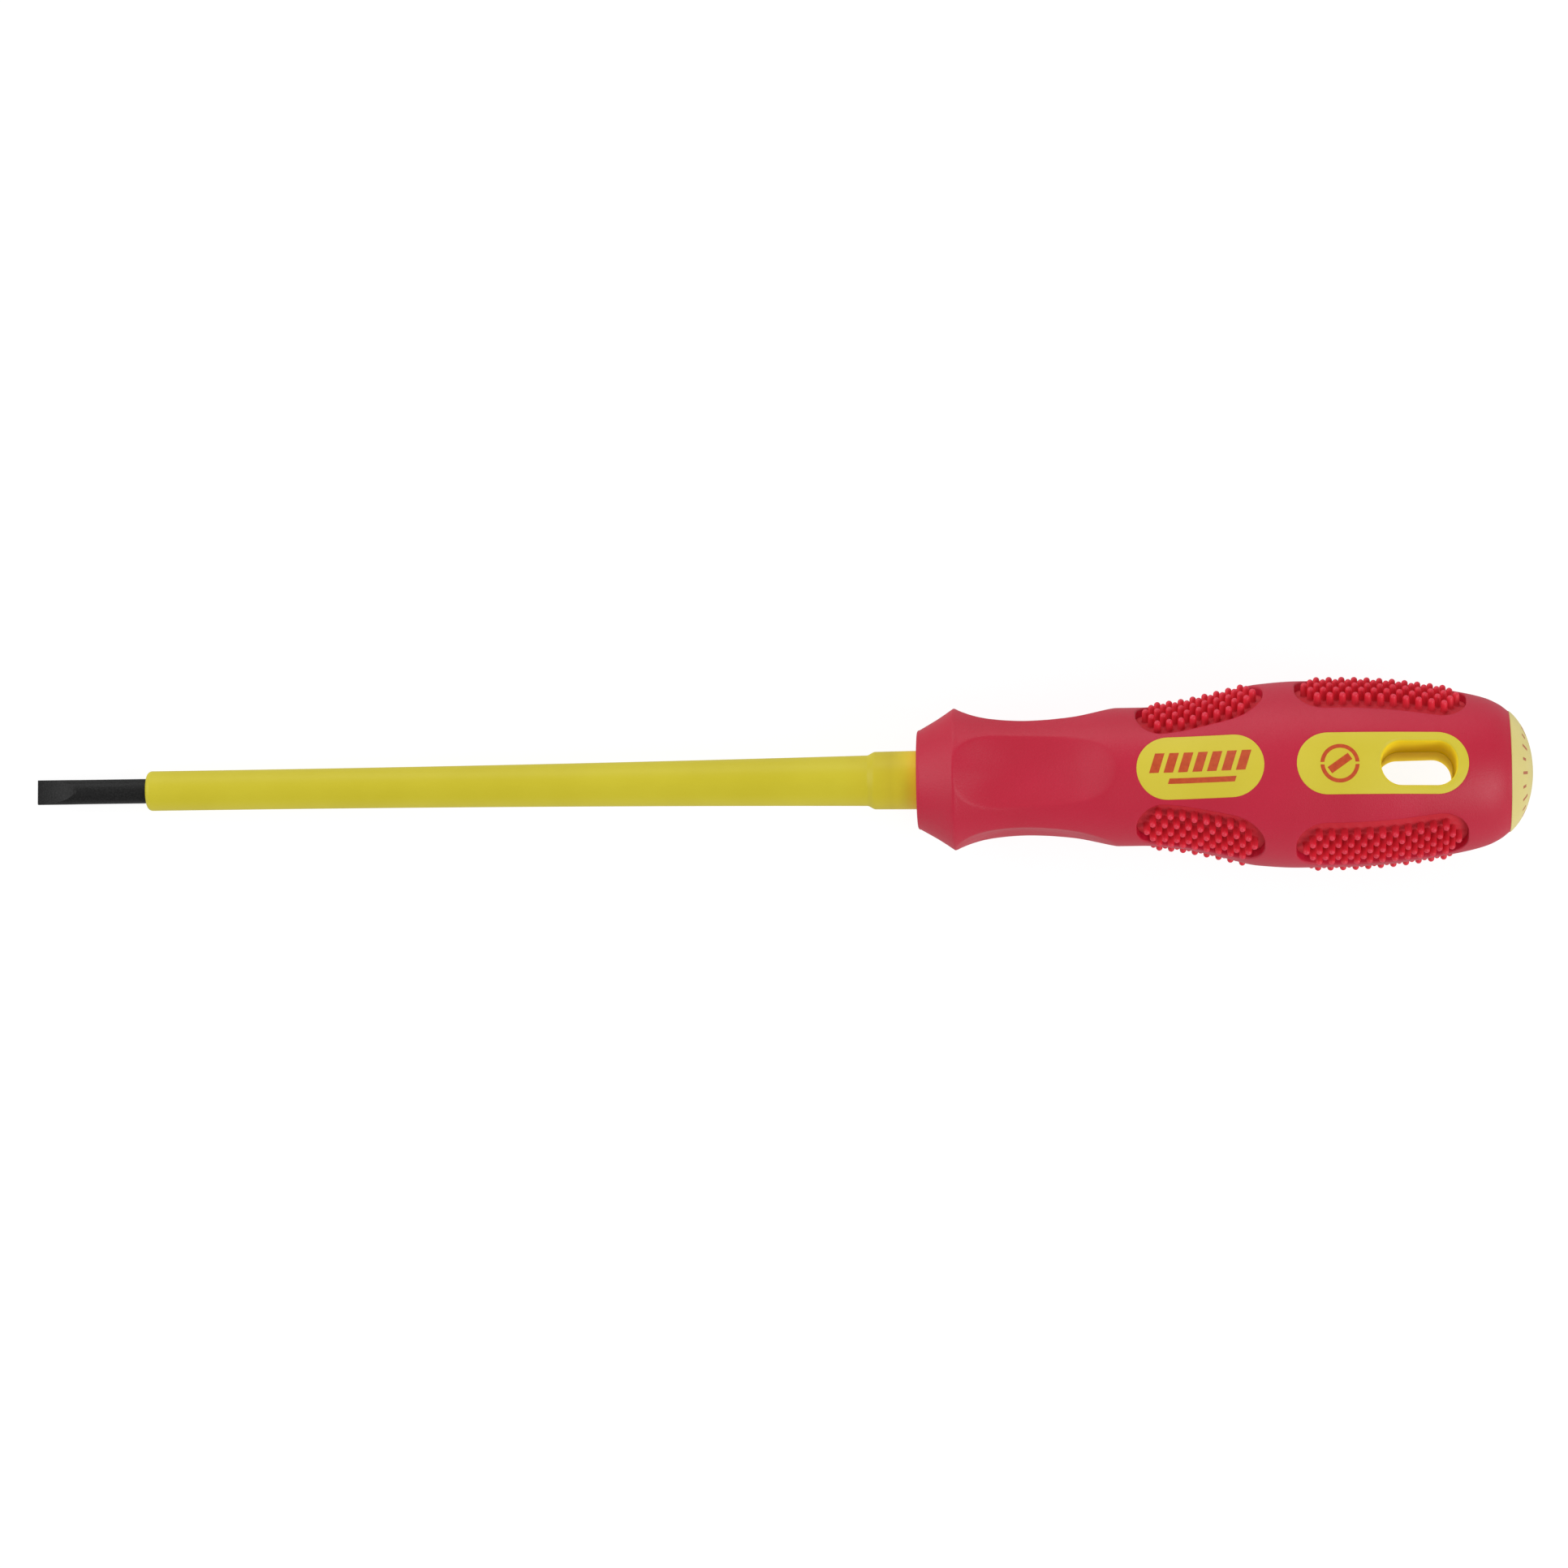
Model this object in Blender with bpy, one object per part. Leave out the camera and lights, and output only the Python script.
"""Insulated screwdriver with a slotted blade and a cushioned handle.

The tool lies along X. The origin is the middle of the blade's end face, +X runs to the
handle, and +Z is the normal of the yellow plates. Every length is in metres.
"""

import math

import bmesh
import bpy

# Driving dimensions, in millimetres, turned into metres by MM
MM = 0.001
GAP = 0.3                    # clearance between neighbouring solids
SEGMENTS = 24                # facets around the handle; one lies flat on each side
SHANK_SEGMENTS = 16
FAN = (0.35, 0.7, 1.0)       # sizes of the rings that carry a wrapped face over the belly

BLADE_LENGTH = 100.0         # tip to the front of the handle
BLADE_RADIUS = 1.4
TIP_THICKNESS = 0.5
GRIND_RADIUS = 13.5          # the grinding wheel that hollowed the two flats of the tip
GRIND_START = 5.7            # slope of the wheel's cut at the very tip, in degrees
FLAT_LENGTH = 2.0            # the cut is straight over this length, and then follows the wheel
GRIND_END = 3.5              # here the flats start to round off
RUNOUT_END = 4.9             # and here they reach the full rod
TANG_END = 145.4
WING_START = 116.0
WING_LENGTH = 12.0
WING_HEIGHT = 0.9
WING_SPAN = 5.2

SLEEVE_START = 12.5
SLEEVE_END = 107.0
SLEEVE_FRONT_RADIUS = 2.245
SLEEVE_MIDDLE = (50.0, 2.32)
SLEEVE_REAR_RADIUS = 2.82
SLEEVE_EDGE = 0.25           # bevel of its front end
COLLAR_START = 94.3
COLLAR_RADIUS = 3.27
COLLAR_RAMP = 0.75           # the sleeve swells into its collar in two ramps of this length
COLLAR_SHOULDER = 3.12       # radius between the two

HANDLE_FRONT = BLADE_LENGTH
HANDLE_REAR = 166.05         # rear face of the grip body
CREST_X = 104.2              # widest ring of the front flange
DENT_FRONT = 104.1
DENT_DEEPEST = 110.5
DENT_REAR = 122.45
DENT_HALF_ANGLE = 34.3
DENT_DEPTH = 1.6
CORE_NECK_RADIUS = 4.5
CORE_NECK_END = 122.0
CORE_BELLY = (128.0, 160.0)  # where the core follows the belly
CORE_TAIL = 163.2            # from here to its rear end the core is straight
CORE_COVER = 3.4             # grip body's thickness over the core in the belly
CORE_FRONT = 102.0

# Patches wrapped on the belly: where, how long, half their width along the arc, and corners
FRONT_PLATE = {"centre": 131.7, "length": 14.15, "half_width": 3.6, "corner": 3.55}
PLATE_THICKNESS = 0.9
STEM_LENGTH = 11.0           # the front plates' shared foot, down to the core
STEM_WIDTH = 4.4
STEM_SINK = 0.45
REAR_PLATE = {"centre": 151.85, "length": 19.0, "width": 6.92}
SLOT = {"centre": 155.9, "length": 8.45, "width": 4.95, "corner": 2.3}

CAP_FRONT = HANDLE_REAR + GAP
CAP_RADIUS = 6.7
CAP_LENGTH = 2.5
CAP_EDGE_ANGLE = 25          # where the dome starts, in degrees around it
CAP_FLAT_RADIUS = 0.6
SPIGOT_RADIUS = 3.5
SPIGOT_START = 163.0

# Pads: the angle is the one between +Z and the middle of the pad; the other three mirror it
FRONT_PAD = {"centre": 131.65, "length": 14.2, "half_width": 3.65, "corner": 3.4, "angle": 57.0}
REAR_PAD = {"centre": 151.8, "length": 19.05, "half_width": 4.0, "corner": 3.4, "angle": 60.5}
PAD_PROUD = 0.59             # how far the pimples' tips stand out of the grip body
PAD_DEPTH = 1.6
POCKET_DRAFT = 0.8           # how much narrower a pocket is at its floor

# Radius of the grip body's round surface, as (x, radius)
BODY_STATIONS = [
    (HANDLE_FRONT, 5.45), (102.2, 6.8), (103.8, 7.8), (CREST_X, 7.98), (104.75, 7.9),
    (108.1, 7.52), (112.4, 7.25), (117.2, 7.41), (121.95, 7.77), (125.2, 7.77),
    (129.05, 8.1), (133.6, 9.08), (138.1, 10.16), (142.7, 10.45), (147.85, 10.43),
    (152.25, 10.2), (156.3, 9.7), (160.8, 8.96), (163.55, 8.27), (165.2, 7.48), (HANDLE_REAR, 6.78),
]


def smooth_radius(x):
    """Monotone cubic through the body's stations."""
    stations = BODY_STATIONS
    if x <= stations[0][0]:
        return stations[0][1]
    if x >= stations[-1][0]:
        return stations[-1][1]
    slopes = [(b[1] - a[1]) / (b[0] - a[0]) for a, b in zip(stations, stations[1:])]
    tangents = [slopes[0]]
    for before, after in zip(slopes, slopes[1:]):
        tangents.append(0.0 if before * after <= 0 else 2 * before * after / (before + after))
    tangents.append(slopes[-1])
    index = max(i for i, station in enumerate(stations[:-1]) if station[0] <= x)
    (x0, r0), (x1, r1) = stations[index], stations[index + 1]
    width = x1 - x0
    t = (x - x0) / width
    return ((1 + 2 * t) * (1 - t) ** 2 * r0 + t * (1 - t) ** 2 * width * tangents[index]
            + t * t * (3 - 2 * t) * r1 + t * t * (t - 1) * width * tangents[index + 1])


def dent_reach(x):
    """0 outside the finger dents, 1 where they are widest; squarer than an ellipse."""
    if not DENT_FRONT < x < DENT_REAR:
        return 0.0
    end = DENT_FRONT if x < DENT_DEEPEST else DENT_REAR
    along = abs((x - DENT_DEEPEST) / (end - DENT_DEEPEST))
    return (1 - along ** 2.5) ** 0.4


def body_radius(x, angle):
    """Grip body's radius with its four finger dents; angle in degrees from +Z towards +Y."""
    radius = smooth_radius(x)
    reach = dent_reach(x)
    if reach > 0:
        off = abs((angle + 45) % 90 - 45) / (DENT_HALF_ANGLE * reach)
        if off < 1:
            radius -= DENT_DEPTH * reach * (1 - off * off)
    return radius


def spread(first, last, count):
    return [first + (last - first) * i / count for i in range(count + 1)]


def at(x, radius, angle):
    """A point at a radius about the tool's axis, in metres."""
    turn = math.radians(angle)
    return (x * MM, radius * math.sin(turn) * MM, radius * math.cos(turn) * MM)


def material(name, color, roughness, metallic=0.0):
    made = bpy.data.materials.new(name)
    made.use_nodes = True
    shader = made.node_tree.nodes["Principled BSDF"]
    shader.inputs["Base Color"].default_value = (*color, 1.0)
    shader.inputs["Roughness"].default_value = roughness
    shader.inputs["Metallic"].default_value = metallic
    made.diffuse_color = (*color, 1.0)
    return made


def mesh_object(name, mesh_builder, look=None):
    """Turns a bmesh into an object with outward faces; a piece without a look is a cutter."""
    bmesh.ops.recalc_face_normals(mesh_builder, faces=mesh_builder.faces)
    mesh = bpy.data.meshes.new(name)
    mesh_builder.to_mesh(mesh)
    mesh_builder.free()
    mesh.shade_smooth()
    mesh.set_sharp_from_angle(angle=math.radians(32))
    made = bpy.data.objects.new(name, mesh)
    bpy.context.scene.collection.objects.link(made)
    if look:
        mesh.materials.append(look)
    else:
        made.hide_render = True
        made.display_type = "WIRE"
    return made


def skin(shape, rings, closed_loop=False):
    """Bridges rings of vertices; flat ends are filled unless the rings close on themselves."""
    count = len(rings[0])
    pairs = list(zip(rings, rings[1:]))
    if closed_loop:
        pairs.append((rings[-1], rings[0]))
    for low, high in pairs:
        for i in range(count):
            j = (i + 1) % count
            shape.faces.new((low[i], low[j], high[j], high[i]))
    if not closed_loop:
        shape.faces.new(rings[0])
        shape.faces.new(rings[-1])


def turned(name, profile, segments, look=None, hollow=False):
    """Turns (x, radius) points about X; a hollow profile is a closed loop of points."""
    shape = bmesh.new()
    step = 360 / segments
    rings = []
    for x, radius in profile:
        rings.append([shape.verts.new(at(x, radius, (i + 0.5) * step)) for i in range(segments)])
    skin(shape, rings, closed_loop=hollow)
    return mesh_object(name, shape, look)


def envelope(name, look=None, sink=0.0):
    """The grip body's outer form, as one closed solid; it can be sunk below the real surface."""
    crest_end, belly_start, tail_start = CREST_X + 0.7, DENT_REAR + 2.5, HANDLE_REAR - 4.5
    flange = spread(HANDLE_FRONT, CREST_X, 3)
    dents = spread(crest_end, DENT_DEEPEST, 4) + spread(DENT_DEEPEST, DENT_REAR, 6)[1:]
    xs = flange + dents + spread(belly_start, CORE_BELLY[1], 14) + spread(tail_start, HANDLE_REAR, 4)
    shape = bmesh.new()
    step = 360 / SEGMENTS
    angles = [(i + 0.5) * step for i in range(SEGMENTS)]
    rings = [[shape.verts.new(at(x, body_radius(x, a) - sink, a)) for a in angles] for x in xs]
    skin(shape, rings)
    return mesh_object(name, shape, look)


def rounded_outline(length, width, corner, steps=10):
    """Corner-rounded rectangle about the origin, long side first."""
    corner = min(corner, width / 2, length / 2)
    across, up = length / 2 - corner, width / 2 - corner
    points = []
    for index, (sx, sy) in enumerate(((1, 1), (-1, 1), (-1, -1), (1, -1))):
        for step in range(steps // 2 + 1):
            turn = math.radians(90 * (index + step / (steps // 2)))
            point = (sx * across + corner * math.cos(turn), sy * up + corner * math.sin(turn))
            if not points or math.dist(point, points[-1]) > 1e-6:
                points.append(point)
    if math.dist(points[0], points[-1]) < 1e-6:
        points.pop()
    return points


def column(name, centre, length, width, corner, reach=12.0):
    """A straight column along Z, right through the handle, used to shape or to cut."""
    shape = bmesh.new()
    outline = rounded_outline(length, width, corner)
    rings = []
    for z in (-reach, reach):
        rings.append([shape.verts.new(((centre + x) * MM, y * MM, z * MM)) for x, y in outline])
    skin(shape, rings)
    return mesh_object(name, shape)


def wrapped(name, patch, angle, low, high, grow=0.0, draft=0.0, look=None):
    """A rounded patch wrapped on the belly, from low to high above its surface.

    Each of its two faces is a fan of rings about a middle point, so that it bends with the belly.
    """
    shape = bmesh.new()

    def point(x, arc, offset):
        at_x = patch["centre"] + x
        radius = smooth_radius(at_x)
        return shape.verts.new(at(at_x, radius + offset, angle + math.degrees(arc / radius)))

    rings = []
    for offset, inset, factors in ((low, draft, FAN), (high, 0.0, FAN[::-1])):
        wider = grow - inset
        width = 2 * (patch["half_width"] + wider)
        outline = rounded_outline(patch["length"] + 2 * wider, width, patch["corner"] + wider, steps=8)
        for factor in factors:
            rings.append([point(x * factor, arc * factor, offset) for x, arc in outline])
    for inner, outer in zip(rings, rings[1:]):
        for i in range(len(inner)):
            j = (i + 1) % len(inner)
            shape.faces.new((inner[i], inner[j], outer[j], outer[i]))
    for ring, offset in ((rings[0], low), (rings[-1], high)):
        middle = point(0, 0, offset)
        for i in range(len(ring)):
            shape.faces.new((ring[i], ring[(i + 1) % len(ring)], middle))
    return mesh_object(name, shape, look)


def combine(target, operation, cutter):
    change = target.modifiers.new(cutter.name, "BOOLEAN")
    change.operation = operation
    change.solver = "EXACT"
    change.object = cutter


def grind_height(x):
    """Half the tip's thickness at x: hollowed by the wheel, then rounded off up to the rod."""
    start = math.radians(GRIND_START)
    turn = math.asin(math.sin(start) + min(x, GRIND_END) / GRIND_RADIUS)
    hollow = TIP_THICKNESS / 2 + GRIND_RADIUS * (math.cos(start) - math.cos(turn))
    if x <= GRIND_END:
        return hollow
    reach = RUNOUT_END - GRIND_END
    along = (x - GRIND_END) / reach
    rise = BLADE_RADIUS - hollow
    return hollow + reach * math.tan(turn) * along * (1 - along) ** 2 + rise * along ** 2 * (3 - 2 * along)


def flat_cutter(name, side):
    """Grinds one flat of the tip: straight at first, then up along the wheel."""
    outside, above = 2.0, 4.0
    proud = 0.02                 # the cut leaves the rod at an angle, not along a tangent
    start = TIP_THICKNESS / 2
    slope = (grind_height(FLAT_LENGTH) - start) / FLAT_LENGTH
    points = [(-outside, start - outside * slope)]
    curve = spread(FLAT_LENGTH, GRIND_END, 2) + spread(GRIND_END, RUNOUT_END, 3)[1:-1]
    points += [(x, grind_height(x)) for x in curve]
    points += [(RUNOUT_END, BLADE_RADIUS + proud), (RUNOUT_END, above), (-outside, above)]
    shape = bmesh.new()
    rings = []
    for y in (-above, above):
        rings.append([shape.verts.new((x * MM, y * MM, side * z * MM)) for x, z in points])
    skin(shape, rings)
    return mesh_object(name, shape)


def block(name, low, high):
    shape = bmesh.new()
    rings = []
    for x in (low[0], high[0]):
        corners = ((low[1], low[2]), (high[1], low[2]), (high[1], high[2]), (low[1], high[2]))
        rings.append([shape.verts.new((x * MM, y * MM, z * MM)) for y, z in corners])
    skin(shape, rings)
    return mesh_object(name, shape)


def wing_block(name, grow=0.0):
    span, height = WING_SPAN / 2 + grow, WING_HEIGHT / 2 + grow
    return block(name, (WING_START - grow, -span, -height), (WING_START + WING_LENGTH + grow, span, height))


def blade():
    """Steel rod with a ground tip and two pressed wings that lock it in the handle."""
    steel = material("black_steel", (0.035, 0.036, 0.04), 0.42, 0.7)
    rod = turned("blade", [(x, BLADE_RADIUS) for x in spread(0.0, TANG_END, 4)], SHANK_SEGMENTS, steel)
    combine(rod, "DIFFERENCE", flat_cutter("cut_flat_upper", 1))
    combine(rod, "DIFFERENCE", flat_cutter("cut_flat_lower", -1))
    combine(rod, "UNION", wing_block("wings"))
    return rod


def blade_sleeve():
    """Tapered insulating tube that swells into a collar at the handle."""
    yellow = material("sleeve_yellow", (0.6, 0.5, 0.035), 0.5)
    bore = BLADE_RADIUS + GAP
    front = [(SLEEVE_START, bore), (SLEEVE_START, SLEEVE_FRONT_RADIUS - SLEEVE_EDGE),
             (SLEEVE_START + SLEEVE_EDGE, SLEEVE_FRONT_RADIUS)]
    ramps = [(COLLAR_START, SLEEVE_REAR_RADIUS), (COLLAR_START + COLLAR_RAMP, COLLAR_SHOULDER),
             (COLLAR_START + 2 * COLLAR_RAMP, COLLAR_RADIUS)]
    collar = [(HANDLE_FRONT, COLLAR_RADIUS), (SLEEVE_END, COLLAR_RADIUS), (SLEEVE_END, bore)]
    loop = front + [SLEEVE_MIDDLE] + ramps + collar
    return turned("blade_sleeve", loop, SEGMENTS, yellow, hollow=True)


def core_profile(grow):
    """Outline of the core's round part, from its front end to its rear end."""
    front = CORE_FRONT - grow
    neck = CORE_NECK_RADIUS + grow
    points = [(front, neck), (CORE_NECK_END, neck)]
    for x in spread(*CORE_BELLY, 8) + [CORE_TAIL]:
        points.append((x, max(neck, smooth_radius(x) - CORE_COVER + grow)))
    return points


def rear_column(name, grow):
    width = REAR_PLATE["width"] + 2 * grow
    return column(name, REAR_PLATE["centre"], REAR_PLATE["length"] + 2 * grow, width, width / 2)


def stem_column(name, grow):
    width = STEM_WIDTH + 2 * grow
    return column(name, FRONT_PLATE["centre"], STEM_LENGTH + 2 * grow, width, width / 2)


def handle_core():
    """First moulding: grips the tang, and shows as plates through the grip body's windows."""
    yellow = material("core_yellow", (0.62, 0.51, 0.06), 0.5)
    points = core_profile(0.0)
    core = turned("handle_core", points + [(HANDLE_REAR, points[-1][1])], SEGMENTS, yellow)
    for boss, sink in ((stem_column("stem", 0.0), STEM_SINK), (rear_column("slot_boss", -GAP), 0.0)):
        combine(boss, "INTERSECT", envelope(boss.name + "_limit", sink=sink))
        combine(core, "UNION", boss)
    for side, angle in (("upper", 0), ("lower", 180)):
        plate = wrapped("front_plate_" + side, FRONT_PLATE, angle, -PLATE_THICKNESS, 0.0, grow=-GAP)
        combine(core, "UNION", plate)
    combine(core, "DIFFERENCE", column("cut_slot", **SLOT))
    socket = COLLAR_RADIUS + GAP
    bore = BLADE_RADIUS + GAP
    step = SLEEVE_END + GAP
    tunnel = [(CORE_FRONT - 2, socket), (step, socket), (step, bore), (TANG_END + GAP, bore)]
    combine(core, "DIFFERENCE", turned("cut_tang", tunnel, SHANK_SEGMENTS))
    combine(core, "DIFFERENCE", wing_block("cut_wings", GAP))
    spigot = SPIGOT_RADIUS + GAP
    hole = [(SPIGOT_START - GAP, spigot), (HANDLE_REAR + 2, spigot)]
    combine(core, "DIFFERENCE", turned("cut_spigot", hole, SHANK_SEGMENTS))
    return core


def pad_angles(pad):
    angle = pad["angle"]
    return {"upper_left": angle, "upper_right": -angle, "lower_left": 180 - angle, "lower_right": angle - 180}


def grip_body():
    """Second moulding: hard shell with the finger dents, windows and pad pockets."""
    red = material("body_red", (0.5, 0.035, 0.055), 0.55)
    body = envelope("grip_body", red)
    nose = COLLAR_RADIUS + GAP
    cavity = [(HANDLE_FRONT - 2, nose), (CORE_FRONT - GAP, nose)] + core_profile(GAP)
    cavity.append((HANDLE_REAR + 2, cavity[-1][1]))
    combine(body, "DIFFERENCE", turned("cut_core", cavity, SEGMENTS))
    combine(body, "DIFFERENCE", stem_column("cut_stem", GAP))
    combine(body, "DIFFERENCE", rear_column("cut_rear_window", 0.0))
    for side, angle in (("upper", 0), ("lower", 180)):
        window = wrapped("cut_front_window_" + side, FRONT_PLATE, angle, -PLATE_THICKNESS - GAP, 2.0)
        combine(body, "DIFFERENCE", window)
    for row, pad in (("front", FRONT_PAD), ("rear", REAR_PAD)):
        for place, angle in pad_angles(pad).items():
            name = "cut_" + row + "_" + place
            pocket = wrapped(name, pad, angle, -PAD_DEPTH - GAP, 1.0, draft=POCKET_DRAFT)
            combine(body, "DIFFERENCE", pocket)
    return body


def grip_pads():
    """Soft pimpled pads in their pockets, here as plain solids up to the pimples' tips."""
    soft = material("pad_red", (0.45, 0.012, 0.02), 0.35)
    for row, pad in (("front", FRONT_PAD), ("rear", REAR_PAD)):
        for place, angle in pad_angles(pad).items():
            wrapped("pad_" + row + "_" + place, pad, angle, -PAD_DEPTH, PAD_PROUD, -GAP, POCKET_DRAFT, soft)


def end_cap():
    """Domed cap with a round spigot that plugs the core's rear end."""
    pale = material("cap_yellow", (0.66, 0.56, 0.13), 0.5)
    profile = [(SPIGOT_START, SPIGOT_RADIUS), (CAP_FRONT, SPIGOT_RADIUS), (CAP_FRONT, CAP_RADIUS)]
    for turn in spread(CAP_EDGE_ANGLE, 90, 5)[:-1]:
        angle = math.radians(turn)
        profile.append((CAP_FRONT + CAP_LENGTH * math.sin(angle), CAP_RADIUS * math.cos(angle)))
    profile.append((CAP_FRONT + CAP_LENGTH, CAP_FLAT_RADIUS))
    return turned("end_cap", profile, SEGMENTS, pale)


def main():
    for old in list(bpy.data.objects):
        bpy.data.objects.remove(old, do_unlink=True)
    blade()
    blade_sleeve()
    handle_core()
    grip_body()
    grip_pads()
    end_cap()


main()
